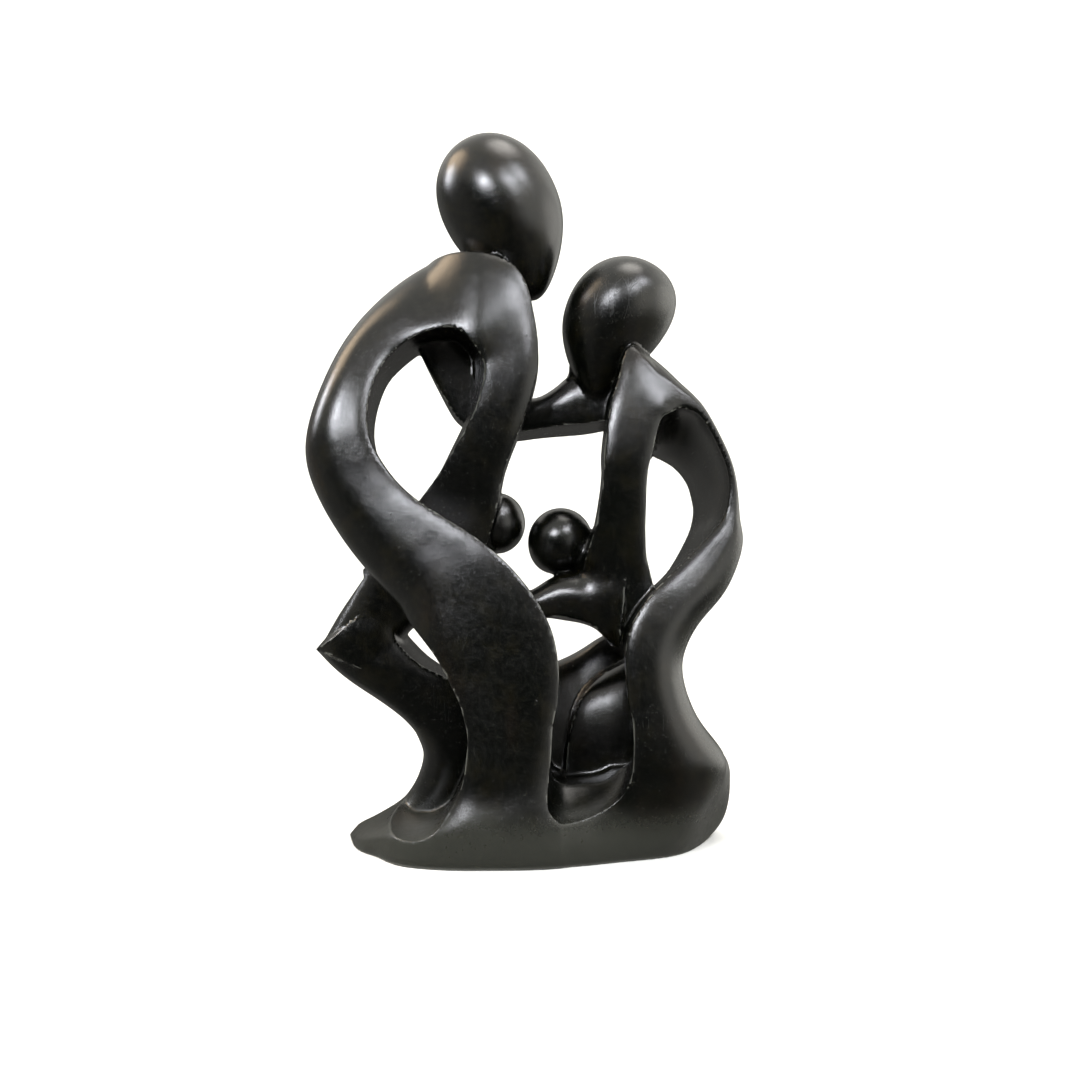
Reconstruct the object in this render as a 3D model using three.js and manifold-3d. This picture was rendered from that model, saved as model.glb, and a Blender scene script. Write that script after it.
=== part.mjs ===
// Family group carved from one block of dark soapstone: two tall bending figures whose
// arms and backs are flat ribbons, two child heads between them, and a low plinth that
// grows into the ribbons. Millimetres, +Z up, the viewer's side is -Y.
// The origin is under the middle of the box, on the surface the group stands on.
import * as THREE from "three";
import { mergeVertices } from "three/addons/utils/BufferGeometryUtils.js";
import Module from "manifold-3d";

const wasm = await Module();
wasm.setup();

// Driving dimensions.
const roundness = 2.5; // exponent of every rounded section: 2 is an ellipse, more is boxier
const faceSteps = 5; // facets across the front or the back of a ribbon
const stepsPerStation = 2; // rings between two stations of a ribbon
const eggSides = 22;
const eggRings = 15;
const plinthRoundness = 3.4;
const plinthSides = 22;
const scoopSides = 26;
const roundedCut = 0.93; // an edge cut further out than this is drawn as rounded
const narrowest = 0.985; // keeps a little thickness at a fully rounded edge

// Ribbon stations. One row is one rung across the ribbon: inner edge x, z at the front,
// outer edge x, z, inner edge x, z at the back, front y, back y, then how far out the inner
// and the outer edge are cut, in half widths: 1 is fully rounded, less is a flat wall
// with crisp arrises.

// taller figure: shoulder, back and the broad strip that falls to the plinth
const outerRibbonA = [
  [-24, 316, 10, 319, -32, 318, -38, 4, 0.74, 0.9],
  [-26, 325, 8, 356, -34, 327, -39, 22, 0.76, 0.94],
  [-31, 334, -5, 388, -37, 333, -40, 34, 0.78, 0.98],
  [-43, 344, -35, 402, -47, 339, -40, 38, 0.8, 1],
  [-66, 341, -83, 379, -68, 337, -40, 37, 0.8, 1],
  [-85, 327, -111, 350, -86, 325, -41, 32, 0.78, 1],
  [-96, 307, -132, 315, -95, 309, -43, 22, 0.78, 1],
  [-99, 280, -142, 276, -101, 280, -47, 12, 0.78, 1],
  [-90, 257, -137, 241, -94, 254, -51, 6, 0.78, 1],
  [-68, 233, -111, 198, -72, 229, -56, 0, 0.79, 1],
  [-32, 210, -78, 161, -36, 206, -61, -6, 0.8, 0.94],
  [-2, 184, -56, 132, -5, 181, -67, -10, 0.82, 0.88],
  [18, 153, -43, 113, 15, 151, -71, -13, 0.84, 0.86],
  [24, 122, -36, 96, 22, 121, -73, -12, 0.85, 0.86],
  [22, 90, -34, 76, 21, 90, -74, -6, 0.86, 0.86],
  [18, 58, -36, 55, 17, 58, -75, 2, 0.87, 0.87],
  [18, 22, -44, 22, 17, 22, -74, 8, 0.88, 0.88],
];

// taller figure: front arm from the shoulder, behind the strip, to the thigh and the knee
const frontArmA = [
  [-31, 334, -5, 388, -37, 333, -40, 34, 0.78, 0.98],
  [-26, 325, 8, 356, -34, 327, -39, 22, 0.76, 0.94],
  [-24, 316, 10, 319, -32, 318, -38, 4, 0.74, 0.9],
  [-30, 292, -1, 280, -36, 294, -37, 2, 0.76, 0.9],
  [-44, 266, -12, 251, -48, 268, -33, 6, 0.8, 0.9],
  [-60, 242, -18, 223, -62, 243, -28, 12, 0.84, 0.9],
  [-86, 209, -34, 186, -87, 210, -20, 20, 0.9, 0.92],
  [-108, 180, -62, 158, -108, 180, -14, 27, 0.92, 0.94],
  [-126, 155, -84, 138, -126, 155, -12, 34, 0.94, 0.94],
  [-137, 133, -100, 120, -137, 133, -9, 33, 0.96, 0.96],
];

// taller figure: shin from the knee down to the plinth, and the foot that runs out left
const shinA = [
  [-98, 158, -140, 131, -98, 158, -10, 34, 0.94, 0.96],
  [-84, 138, -120, 112, -81, 139, -12, 36, 0.86, 0.96],
  [-66, 121, -91, 93, -65, 123, -13, 36, 0.84, 0.94],
  [-44, 109, -75, 79, -44, 108, -12, 38, 0.88, 0.94],
  [-28, 84, -69, 66, -27, 84, -10, 42, 0.92, 0.96],
  [-26, 56, -68, 54, -26, 56, -8, 46, 0.94, 0.96],
  [-34, 28, -78, 33, -34, 28, -4, 48, 0.94, 0.96],
  [-50, 6, -92, 15, -50, 6, 0, 48, 0.94, 0.96],
];

// far arm of the taller figure: out of the shoulder's back, across to the other figure
const reachingArm = [
  [-74, 342, -62, 362, -74, 342, 0, 34, 0.9, 0.94],
  [-65, 325, -40, 348, -66, 325, 4, 37, 0.9, 0.94],
  [-50, 298, -22, 328, -52, 297, 6, 39, 0.86, 0.94],
  [-36, 284, -6, 312, -38, 283, 6, 40, 0.84, 0.94],
  [-12, 279, 2, 305, -14, 276, 5, 39, 0.8, 0.94],
  [6, 281, 10, 304, 6, 277, 4, 38, 0.78, 0.94],
  [26, 284, 24, 312, 26, 279, 2, 38, 0.78, 0.96],
  [47, 286, 41, 323, 47, 281, 0, 38, 0.78, 0.96],
  [72, 290, 70, 324, 72, 286, -4, 36, 0.8, 0.96],
];

// smaller figure: front arm, from the web at the children up to the shoulder's apex
const frontArmB = [
  [82, 140, 62, 138, 82, 140, -30, 8, 0.9, 0.9],
  [88, 165, 48, 172, 87, 165, -33, 6, 0.9, 0.9],
  [83, 190, 43, 195, 80, 190, -36, 2, 0.88, 0.86],
  [81, 214, 47, 215, 78, 214, -39, -1, 0.88, 0.86],
  [82, 247, 52, 247, 80, 245, -42, 0, 0.86, 0.84],
  [85, 262, 52, 264, 84, 257, -43, 10, 0.84, 0.84],
  [90, 282, 58, 295, 88, 264, -43, 22, 0.84, 0.85],
  [95, 288, 64, 314, 91, 265, -43, 32, 0.84, 0.87],
  [99, 290, 72, 334, 94, 264, -42, 38, 0.84, 0.92],
];

// smaller figure: shoulder, back and the strip that crosses the arm and falls to the plinth
const outerRibbonB = [
  [95, 288, 64, 314, 91, 265, -43, 32, 0.84, 0.87],
  [99, 290, 72, 334, 94, 264, -42, 38, 0.84, 0.92],
  [104, 292, 90, 327, 99, 262, -41, 42, 0.84, 1],
  [110, 291, 104, 313, 105, 259, -40, 46, 0.84, 1],
  [117, 287, 118, 299, 111, 254, -38, 48, 0.84, 1],
  [126, 275, 131, 278, 117, 246, -36, 50, 0.84, 1],
  [134, 256, 141, 257, 121, 237, -35, 50, 0.84, 1],
  [136, 240, 145, 236, 123, 227, -35, 48, 0.84, 1],
  [133, 224, 147, 217, 121, 216, -37, 44, 0.84, 1],
  [125, 212, 147, 202, 116, 206, -41, 36, 0.84, 1],
  [104, 191, 135, 172, 101, 185, -49, 20, 0.84, 1],
  [85, 173, 119, 154, 85, 170, -56, 8, 0.84, 1],
  [69, 148, 108, 136, 69, 147, -61, 4, 0.85, 1],
  [67, 120, 105, 116, 67, 119, -64, 6, 0.86, 1],
  [69, 92, 116, 88, 69, 92, -65, 12, 0.87, 1],
  [71, 66, 136, 66, 71, 66, -61, 26, 0.88, 1],
  [70, 38, 131, 42, 70, 38, -46, 38, 0.9, 1],
  [72, 12, 118, 16, 72, 12, -30, 40, 0.9, 1],
];

// the child's arm: a short bar from the web to the back of the taller figure's strip
const childArm = [
  [62, 136, 66, 182, 62, 137, -26, 6, 0.9, 0.92],
  [46, 150, 38, 185, 46, 147, -24, 12, 0.84, 0.92],
  [29, 155, 20, 182, 29, 151, -24, 8, 0.84, 0.92],
  [16, 155, 6, 175, 16, 153, -26, 2, 0.88, 0.94],
  [0, 152, -8, 170, 0, 152, -28, -2, 0.94, 0.94],
];

// the smaller figure's hip and knee, a wedge standing behind the right opening
const hipWedge = [
  [58, 116, 86, 130, 60, 122, 8, 60, 0.84, 0.96],
  [43, 103, 92, 116, 40, 108, 2, 62, 0.84, 0.96],
  [34, 84, 98, 92, 30, 86, -1, 64, 0.86, 0.96],
  [30, 58, 102, 60, 27, 58, -2, 66, 0.88, 0.96],
  [30, 24, 104, 24, 27, 24, -2, 66, 0.9, 0.96],
];

// low ridge at the back that ties the shin, the hip and the plinth together
const backRidge = [
  [-62, 14, -58, 66, -62, 14, 18, 40, 0.94, 0.96],
  [-44, 6, -42, 88, -44, 6, 18, 54, 0.94, 0.96],
  [-14, 6, -12, 102, -14, 6, 22, 61, 0.94, 0.96],
  [22, 6, 24, 115, 22, 6, 24, 65, 0.94, 0.96],
  [52, 6, 53, 128, 52, 6, 22, 66, 0.94, 0.96],
  [84, 6, 80, 128, 84, 6, 14, 60, 0.94, 0.96],
  [104, 10, 98, 92, 104, 10, 4, 50, 0.94, 0.96],
];

// hidden body of the child at the left, between its head and the strip's back
const childBody = [
  [-40, 212, -18, 207, -40, 212, -2, 24, 0.96, 0.96],
  [-46, 192, -22, 182, -46, 192, -14, 18, 0.96, 0.96],
  [-52, 174, -26, 162, -52, 174, -22, 8, 0.96, 0.96],
];

// Plinth stations, left to right: x, front y, back y, and the section's lowest and
// highest z. What reaches below z = 0 is cut off flat.
const plinth = [
  [-119, 13, 27, 0, 4],
  [-113, -12, 34, -3, 9],
  [-104, -31, 38, -8, 14],
  [-92, -47, 44, -11, 21],
  [-76, -63, 54, -11, 30],
  [-48, -76, 64, -11, 39],
  [-12, -77, 70, -11, 44],
  [29, -69, 72, -11, 48],
  [68, -56, 71, -11, 53],
  [98, -38, 66, -10, 58],
  [120, -17, 58, -2, 60],
  [136, 2, 46, 10, 58],
  [143, 16, 34, 26, 50],
];
const plinthBulge = 0.42; // share of the section's height where its sides stand out most

// Scooped openings: outline of the mouth as x, z, then rows from front to back of
// y, shift in x, shift in z, and scale about the mouth's own middle.
const rightMouth = [
  [17, 42], [19, 66], [23, 102], [46, 134], [68, 101], [71, 66], [66, 47], [54, 36], [38, 30.5], [25, 31],
];
const rightScoop = [
  [-100, 0, 0, 1],
  [-66, 0, 0, 1],
  [-20, 2, 4, 0.97],
  [36, 6, 14, 0.9],
];
const leftMouth = [
  [-90, 36], [-87, 24], [-77, 18], [-63, 18.5], [-51, 26], [-43, 41], [-35, 65], [-34, 88], [-48, 112],
  [-74, 106], [-90, 66],
];
const leftScoop = [
  [-100, 0, 0, 1],
  [-64, 0, 0, 1],
  [-20, 2, 2, 1],
  [26, 4, 6, 0.98],
];

// Heads and one small shoulder: centre x, y, z, half length, half width, depth factor, taper,
// lean from upright in degrees (the blunt end leans left when negative), chin pull.
const headA = { at: [-12, 2, 425.5], long: 59.5, wide: 39.8, depth: 1.0, taper: 0.15, lean: -25, point: 0.1 };
const headB = { at: [62.5, 0, 350.5], long: 49.5, wide: 35, depth: 1.04, taper: 0.2, lean: 28, point: 0.04 };
const childHeadA = { at: [-17.5, 12, 217.5], long: 21, wide: 19.5, depth: 1.0, taper: 0, lean: 0, point: 0 };
const childHeadB = { at: [25.5, 0, 205], long: 23, wide: 21.5, depth: 1.0, taper: 0.04, lean: 33, point: 0.05 };
const childShoulder = { at: [46, -6, 191], long: 17, wide: 10, depth: 1.2, taper: 0, lean: -12, point: 0 };

// From here on the solids are made and joined.
function toSolid(geometry) {
  const bare = geometry.clone();
  bare.deleteAttribute("normal");
  bare.deleteAttribute("uv");
  const merged = mergeVertices(bare, 1e-4);
  const corners = merged.attributes.position.array;
  const triangles = [];
  const index = merged.index.array;
  let sixVolumes = 0;
  for (let i = 0; i < index.length; i += 3) {
    const [a, b, c] = [index[i], index[i + 1], index[i + 2]];
    if (a === b || b === c || c === a) continue;
    triangles.push(a, b, c);
    const pa = new THREE.Vector3().fromArray(corners, a * 3);
    const pb = new THREE.Vector3().fromArray(corners, b * 3);
    const pc = new THREE.Vector3().fromArray(corners, c * 3);
    sixVolumes += pa.dot(pb.cross(pc));
  }
  if (sixVolumes < 0) triangles.reverse(); // turn an inside-out skin the right way
  return new wasm.Manifold(
    new wasm.Mesh({ numProp: 3, vertProperties: corners, triVerts: new Uint32Array(triangles) })
  );
}

function smoothTable(rows) {
  // every column of the table becomes a smooth function of t, from 0 to 1 along the rows
  const groups = [];
  for (let c = 0; c < rows[0].length; c += 2) {
    const points = rows.map((row) => new THREE.Vector2(row[c], row[c + 1] ?? 0));
    groups.push(new THREE.SplineCurve(points));
  }
  return (t) => groups.flatMap((curve) => curve.getPoint(t).toArray());
}

function roundedDepth(u) {
  // how much of the half depth is left at u half widths from the centre
  return Math.pow(Math.max(0, 1 - Math.pow(Math.min(1, Math.abs(u)), roundness)), 1 / roundness);
}

function ribbonRing(row) {
  // closed outline of one rung: across the front from the inner edge to the outer one,
  // then across the back to the inner edge, which may stand elsewhere than at the front
  const [xi, zi, xo, zo, xb, zb, front, back, cutIn, cutOut] = row;
  const middle = (front + back) / 2;
  const depth = (back - front) / 2;
  const across = (x, z, u, y) => {
    const share = (cutIn + u) / (cutIn + cutOut);
    return [x + (xo - x) * share, y, z + (zo - z) * share];
  };
  const bulge = (cut) => (cut > roundedCut ? 1 : cut);
  const ring = [];
  for (let k = 0; k <= faceSteps; k++) {
    const share = 0.5 - 0.5 * Math.cos((Math.PI * k) / faceSteps);
    const u = -cutIn + (cutIn + cutOut) * share;
    const drop = depth * roundedDepth(Math.min(u, narrowest));
    ring.push(across(xi, zi, u, middle - drop));
  }
  ring.push(across(xi, zi, bulge(cutOut), middle));
  for (let k = faceSteps; k >= 0; k--) {
    const share = 0.5 - 0.5 * Math.cos((Math.PI * k) / faceSteps);
    const u = -cutIn + (cutIn + cutOut) * share;
    const drop = depth * roundedDepth(Math.min(u, narrowest));
    ring.push(across(xb, zb, u, middle + drop));
  }
  ring.push(across((xi + xb) / 2, (zi + zb) / 2, -bulge(cutIn), middle));
  return ring;
}

function loft(sides, rings, place) {
  // a closed cylinder whose rings are laid where place(t, k) says, with flat end caps
  const geometry = new THREE.CylinderGeometry(1, 1, 1, sides, rings);
  const position = geometry.attributes.position;
  for (let i = 0; i < position.count; i++) {
    const t = 0.5 - position.getY(i);
    const isCentre = Math.hypot(position.getX(i), position.getZ(i)) < 0.5;
    const angle = Math.atan2(position.getX(i), position.getZ(i));
    const k = isCentre ? -1 : ((Math.round((angle / (2 * Math.PI)) * sides) % sides) + sides) % sides;
    position.setXYZ(i, ...place(t, k));
  }
  return toSolid(geometry);
}

function meanOf(points) {
  const sum = points.reduce((total, p) => total.map((v, j) => v + p[j]), [0, 0, 0]);
  return sum.map((v) => v / points.length);
}

function ribbon(rows) {
  const rowAt = smoothTable(rows);
  const sides = 2 * (faceSteps + 2);
  return loft(sides, (rows.length - 1) * stepsPerStation, (t, k) => {
    const ring = ribbonRing(rowAt(t));
    return k < 0 ? meanOf(ring) : ring[k];
  });
}

function superellipse(angle, power) {
  const c = Math.cos(angle);
  const s = Math.sin(angle);
  return [
    Math.sign(c) * Math.pow(Math.abs(c), 2 / power),
    Math.sign(s) * Math.pow(Math.abs(s), 2 / power),
  ];
}

function plinthSolid() {
  const rowAt = smoothTable(plinth);
  return loft(plinthSides, (plinth.length - 1) * 2, (t, k) => {
    const [x, front, back, bottom, top] = rowAt(t);
    const widest = bottom + (top - bottom) * plinthBulge;
    if (k < 0) return [x, (front + back) / 2, widest];
    const [a, b] = superellipse((2 * Math.PI * k) / plinthSides, plinthRoundness);
    const reach = b > 0 ? top - widest : widest - bottom;
    return [x, (front + back) / 2 + (a * (back - front)) / 2, widest + b * reach];
  });
}

function scoopSolid(mouth, rows) {
  const rowAt = smoothTable(rows);
  const edge = new THREE.SplineCurve([...mouth, mouth[0]].map(([x, z]) => new THREE.Vector2(x, z)));
  const middle = mouth.reduce((sum, [x, z]) => [sum[0] + x / mouth.length, sum[1] + z / mouth.length], [0, 0]);
  return loft(scoopSides, (rows.length - 1) * 2, (t, k) => {
    const [y, shiftX, shiftZ, scale] = rowAt(t);
    const point = k < 0 ? new THREE.Vector2(...middle) : edge.getPoint(k / scoopSides);
    const x = middle[0] + shiftX + (point.x - middle[0]) * scale;
    const z = middle[1] + shiftZ + (point.y - middle[1]) * scale;
    return [x, y, z];
  });
}

function egg({ at, long, wide, depth, taper, lean, point }) {
  // turned about its long axis, blunt end up, then leaned over in the front view
  const profile = [];
  for (let k = 0; k <= eggRings; k++) {
    const angle = Math.PI * (k / eggRings);
    const drop = Math.cos(angle);
    const pull = drop < 0 ? point * drop * drop : 0;
    const radius = k === 0 || k === eggRings ? 0 : wide * Math.sin(angle) * (1 + taper * drop) * (1 - pull);
    profile.push(new THREE.Vector2(radius, long * drop));
  }
  const geometry = new THREE.LatheGeometry(profile, eggSides);
  geometry.scale(1, 1, depth);
  geometry.rotateX(Math.PI / 2);
  geometry.rotateY(THREE.MathUtils.degToRad(lean));
  geometry.translate(...at);
  return toSolid(geometry);
}

function belowGround() {
  const size = 600;
  const geometry = new THREE.BoxGeometry(size, size, size);
  geometry.translate(0, 0, -size / 2);
  return toSolid(geometry);
}

function join(solids) {
  return solids.reduce((whole, solid) => whole.add(solid));
}

function familyGroup() {
  const carved = join([plinthSolid(), ribbon(outerRibbonA), ribbon(outerRibbonB)])
    .subtract(scoopSolid(rightMouth, rightScoop))
    .subtract(scoopSolid(leftMouth, leftScoop));
  return join([
    carved,
    ribbon(frontArmA),
    ribbon(shinA),
    ribbon(reachingArm),
    ribbon(frontArmB),
    ribbon(childArm),
    ribbon(hipWedge),
    ribbon(backRidge),
    ribbon(childBody),
    egg(headA),
    egg(headB),
    egg(childHeadA),
    egg(childHeadB),
    egg(childShoulder),
  ]).subtract(belowGround());
}

function overOrigin(solid) {
  // the middle of the box comes to stand over the origin
  const { min, max } = solid.boundingBox();
  return solid.translate([-(min[0] + max[0]) / 2, -(min[1] + max[1]) / 2, 0]);
}

function toGeometry(solid) {
  const { vertProperties, triVerts, numProp } = solid.getMesh();
  const geometry = new THREE.BufferGeometry();
  const corners = new Float32Array((vertProperties.length / numProp) * 3);
  for (let i = 0; i < corners.length / 3; i++) {
    for (let j = 0; j < 3; j++) corners[i * 3 + j] = vertProperties[i * numProp + j];
  }
  geometry.setAttribute("position", new THREE.BufferAttribute(corners, 3));
  geometry.setIndex(new THREE.BufferAttribute(new Uint32Array(triVerts), 1));
  geometry.computeVertexNormals();
  return geometry;
}

// waxed, nearly black stone with a little green in it
const blackStone = new THREE.MeshStandardMaterial({ color: 0x1c1d1a, roughness: 0.38, metalness: 0 });

const group = new THREE.Group();
const family = new THREE.Mesh(toGeometry(overOrigin(familyGroup())), blackStone);
family.name = "family_group";
group.add(family);

export default group;
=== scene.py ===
import math
import bpy
import numpy as np
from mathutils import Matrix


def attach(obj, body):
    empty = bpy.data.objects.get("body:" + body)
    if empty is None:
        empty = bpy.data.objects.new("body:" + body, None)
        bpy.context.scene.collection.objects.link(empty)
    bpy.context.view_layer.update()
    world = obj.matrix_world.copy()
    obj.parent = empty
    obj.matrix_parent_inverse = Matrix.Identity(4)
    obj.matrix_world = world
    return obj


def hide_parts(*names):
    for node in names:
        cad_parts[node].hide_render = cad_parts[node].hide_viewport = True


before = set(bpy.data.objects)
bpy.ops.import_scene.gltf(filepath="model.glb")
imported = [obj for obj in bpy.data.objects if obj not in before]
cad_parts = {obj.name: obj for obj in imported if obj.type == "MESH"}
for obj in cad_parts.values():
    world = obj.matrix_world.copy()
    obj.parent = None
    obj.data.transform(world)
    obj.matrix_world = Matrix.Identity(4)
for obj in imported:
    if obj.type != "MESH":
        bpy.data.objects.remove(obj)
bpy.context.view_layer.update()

# Family group carved from one block of nearly black soapstone, 0.48 m tall.
# The tables below are in millimetres, x to the right, z up, the viewer's side is -y.
# centring moves them so that the middle of the box stands over the origin.
centring = (-2.9375, 2.90625, 0.0)

# One row is one rung across a ribbon: inner edge x, z, outer edge x, z, how far the inner edge
# shifts in x and z from the front to the back, front y, back y, then how far out the inner and
# the outer edge are cut, in half widths: 1 is fully rounded, less is a flat wall with crisp arrises.

# taller figure, in one run: knee, front arm, shoulder, back, broad strip, plinth
tallRibbon = [
    [-137, 133, -100, 120, 0, 0, -9, 33, 0.96, 0.96],
    [-124.5, 154, -84, 138, 0, 0, -12, 34, 0.94, 0.94],
    [-106.5, 179, -62, 158, 0, 0, -14, 27, 0.92, 0.94],
    [-86, 209, -34, 186, -1, 1, -20, 20, 0.9, 0.92],
    [-60, 242, -18, 223, -2, 1, -28, 12, 0.84, 0.9],
    [-44, 266, -12, 251, -4, 2, -33, 6, 0.8, 0.9],
    [-30, 292, -1, 280, -6, 2, -37, 2, 0.76, 0.9],
    [-24, 316, 10, 319, -8, 2, -38, 4, 0.74, 0.9],
    [-26, 325, 8, 356, -8, 2, -39, 22, 0.76, 0.88],
    [-31, 334, -5, 388, -6, -1, -42, 34, 0.8, 0.86],
    [-42, 344, -36, 398, -4, -3, -43, 38, 0.72, 0.875],
    [-54, 345, -58, 395, -2, -4, -42, 38, 0.7, 0.92],
    [-68, 341, -83.5, 382, -2.5, -3, -41, 37, 0.72, 1],
    [-85, 328, -112, 352.5, -2, -3.5, -39.5, 32, 0.76, 1],
    [-96, 307, -131, 314.6, -0.5, 1, -44.5, 22, 0.82, 1],
    [-99, 280, -142, 276, -2.5, 0, -49.5, 12, 0.82, 1],
    [-90, 257, -137, 241, -4, -3, -51.5, 6, 0.8, 1],
    [-68, 233, -111, 198, -4, -4, -55.5, 0, 0.79, 1],
    [-32, 210, -76.3, 161.5, -4, -4, -62.5, -6, 0.8, 0.94],
    [-2, 184, -53.5, 132, -3, -3, -67.5, -10, 0.82, 0.88],
    [18, 153, -43, 113, -3, -2, -70, -13, 0.84, 0.86],
    [24, 122, -36, 96, -2, -1, -72, -12, 0.85, 0.86],
    [22, 90, -34, 76, -1, 0, -73.5, -6, 0.86, 0.86],
    [18, 58, -36, 55, -1, 0, -75, 2, 0.87, 0.87],
    [18, 22, -44, 22, -1, 0, -74, 8, 0.88, 0.88],
    [16, -14, -46, -14, 0, 0, -64, 8, 0.9, 0.9],
]
tallArmRows = (0, 9)     # these rows make the arm, behind the broad strip
tallStripRows = (6, 25)  # and these the loop and the strip, with an overlap at the shoulder

# taller figure: shin from the knee down to the plinth, and the foot that runs out left
shinRibbon = [
    [-98, 158, -140, 131, 0, 0, -10, 34, 0.94, 0.96],
    [-84, 138, -120, 112, 3, 1, -12, 36, 0.86, 0.96],
    [-66, 121, -91, 93, 1, 2, -13, 36, 0.84, 0.94],
    [-44, 109, -75, 79, 0, -1, -12, 38, 0.88, 0.94],
    [-28, 84, -69, 66, 1, 0, -10, 42, 0.92, 0.96],
    [-26, 56, -68, 54, 0, 0, -8, 46, 0.94, 0.96],
    [-34, 28, -76, 34, 0, 0, -4, 48, 0.94, 0.96],
    [-50, 6, -92, 15, 0, 0, 0, 48, 0.94, 0.96],
]

# far arm of the taller figure: out of the shoulder's back, across to the other figure
reachRibbon = [
    [-74, 342, -62, 362, 0, 0, 0, 34, 0.9, 0.94],
    [-65, 325, -40, 348, -1, 0, 4, 37, 0.9, 0.94],
    [-50, 298, -22, 328, -2, -1, 6, 39, 0.86, 0.94],
    [-36, 284, -6, 312, -2, -1, 6, 40, 0.84, 0.94],
    [-12, 279, 2, 305, -2, -3, 5, 39, 0.8, 0.94],
    [6, 281, 10, 304, 0, -4, 4, 38, 0.78, 0.94],
    [26, 284, 24, 312, 0, -5, 2, 38, 0.78, 0.96],
    [47, 286, 41, 323, 0, -5, 0, 38, 0.78, 0.96],
    [72, 290, 70, 324, 0, -4, -4, 36, 0.8, 0.96],
]

# smaller figure, in one run: web at the children, front arm, apex, back, strip, plinth
smallRibbon = [
    [82, 140, 62, 138, 0, 0, -31, 8, 0.9, 0.98],
    [88, 165, 47, 172, -1, 0, -33, 6, 0.88, 0.98],
    [83, 190, 43, 195, -3, 0, -36, 2, 0.86, 0.9],
    [81, 214, 48.5, 215, -3, 0, -39, -1, 0.86, 0.86],
    [82, 247, 53.5, 247, -2, -2, -42, 0, 0.84, 0.84],
    [85, 262, 54, 264, -1, -5, -43, 10, 0.84, 0.84],
    [90, 282, 58.5, 295, -2, -18, -43, 22, 0.84, 0.85],
    [95, 288, 64, 314, -4, -23, -43, 32, 0.84, 0.86],
    [99, 290, 72, 334, -5, -26, -42, 38, 0.84, 0.87],
    [104, 292, 90.5, 327.6, -5, -30, -40, 42, 0.84, 1],
    [110, 291, 104.8, 313.6, -5, -32, -38, 46, 0.84, 1],
    [117.5, 286.5, 118.6, 299.2, -6.5, -32.5, -36, 48, 0.84, 1],
    [126, 273, 130.8, 278, -9, -27, -34, 50, 0.84, 1],
    [133.5, 256, 140, 257, -13.5, -19, -33, 50, 0.84, 1],
    [136, 240, 144, 236.5, -14.5, -13, -34, 48, 0.84, 1],
    [133, 224, 146.5, 217, -13.5, -8, -37, 44, 0.84, 1],
    [125, 212, 147.5, 200.5, -10.5, -6.5, -41, 36, 0.84, 1],
    [104, 191, 136, 173.5, -3, -6, -49, 20, 0.84, 1],
    [85, 173, 119, 154, 0, -3, -56, 8, 0.84, 1],
    [69, 148, 108, 136, 0, -1, -61, 4, 0.85, 1],
    [67, 120, 106, 116, 0, -1, -64, 6, 0.86, 1],
    [69, 92, 117, 88, 0, 0, -66, 12, 0.86, 1],
    [69, 66, 133, 66, 0, 0, -67, 26, 0.86, 1],
    [56, 38, 132, 43, 0, 0, -62, 38, 0.88, 1],
    [42, 10, 116, 12, 0, 0, -48, 40, 0.9, 1],
    [36, -18, 104, -16, 0, 0, -32, 38, 0.9, 1],
]
smallArmRows = (0, 8)
smallStripRows = (7, 25)

# the child's arm: a short bar from the web to the back of the taller figure's strip
childArmRibbon = [
    [62, 136, 66, 182, 0, 1, -33, 6, 0.97, 0.97],
    [46, 150, 38, 184, 0, -3, -32, 12, 0.87, 0.97],
    [29, 155, 20, 180, 0, -4, -30, 8, 0.86, 0.96],
    [16, 155, 6, 172, 0, -2, -29, 2, 0.88, 0.96],
    [0, 152, -8, 170, 0, 0, -28, -2, 0.94, 0.94],
]

# the smaller figure's hip and knee, standing behind the right opening
hipRibbon = [
    [58, 116, 86, 130, 2, 6, 5, 54, 0.8, 0.96],
    [43, 103, 92, 116, -3, 5, -7, 54, 0.76, 0.96],
    [34, 84, 98, 92, -4, 2, -14, 54, 0.76, 0.96],
    [30, 58, 102, 60, -3, 0, -17, 54, 0.76, 0.96],
    [30, 24, 104, 24, -3, 0, -19, 54, 0.76, 0.96],
]

# low ridge at the back that ties the shin, the hip and the plinth together
ridgeRibbon = [
    [-62, 14, -58, 66, 0, 0, 18, 40, 0.94, 0.96],
    [-44, 6, -42, 88, 0, 0, 18, 54, 0.94, 0.96],
    [-14, 6, -12, 103, 0, 0, 4, 52, 0.5, 0.95],
    [20, 6, 23, 116, 0, 0, 0, 56, 0.5, 0.95],
    [46, 6, 46, 127.5, 0, 0, 0, 56, 0.5, 0.95],
    [76, 6, 72, 133, 0, 0, 4, 54, 0.5, 0.95],
    [104, 10, 98, 92, 0, 0, 4, 50, 0.94, 0.96],
]

# hidden body of the child at the left, between its head and the strip's back
childBodyRibbon = [
    [-40, 212, -18, 207, 0, 0, -2, 24, 0.96, 0.96],
    [-46, 192, -22, 182, 0, 0, -14, 18, 0.96, 0.96],
    [-52, 174, -26, 162, 0, 0, -22, 8, 0.96, 0.96],
]

# plinth, left to right: x, front y, back y, lowest and highest z of the section
plinthRows = [
    [-119, 13, 27, 0, 4],
    [-113, -12, 34, -3, 9],
    [-104, -31, 38, -8, 14],
    [-92, -47, 44, -11, 21],
    [-76, -66, 54, -26, 30],
    [-48, -76, 64, -30, 39],
    [-12, -76, 70, -30, 44],
    [29, -72, 72, -30, 48],
    [68, -57, 71, -28, 53],
    [98, -40, 66, -22, 58],
    [121, -20, 58, -6, 60],
    [137.5, 2, 46, 9, 58],
    [144.5, 16, 34, 25, 50],
]

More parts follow.
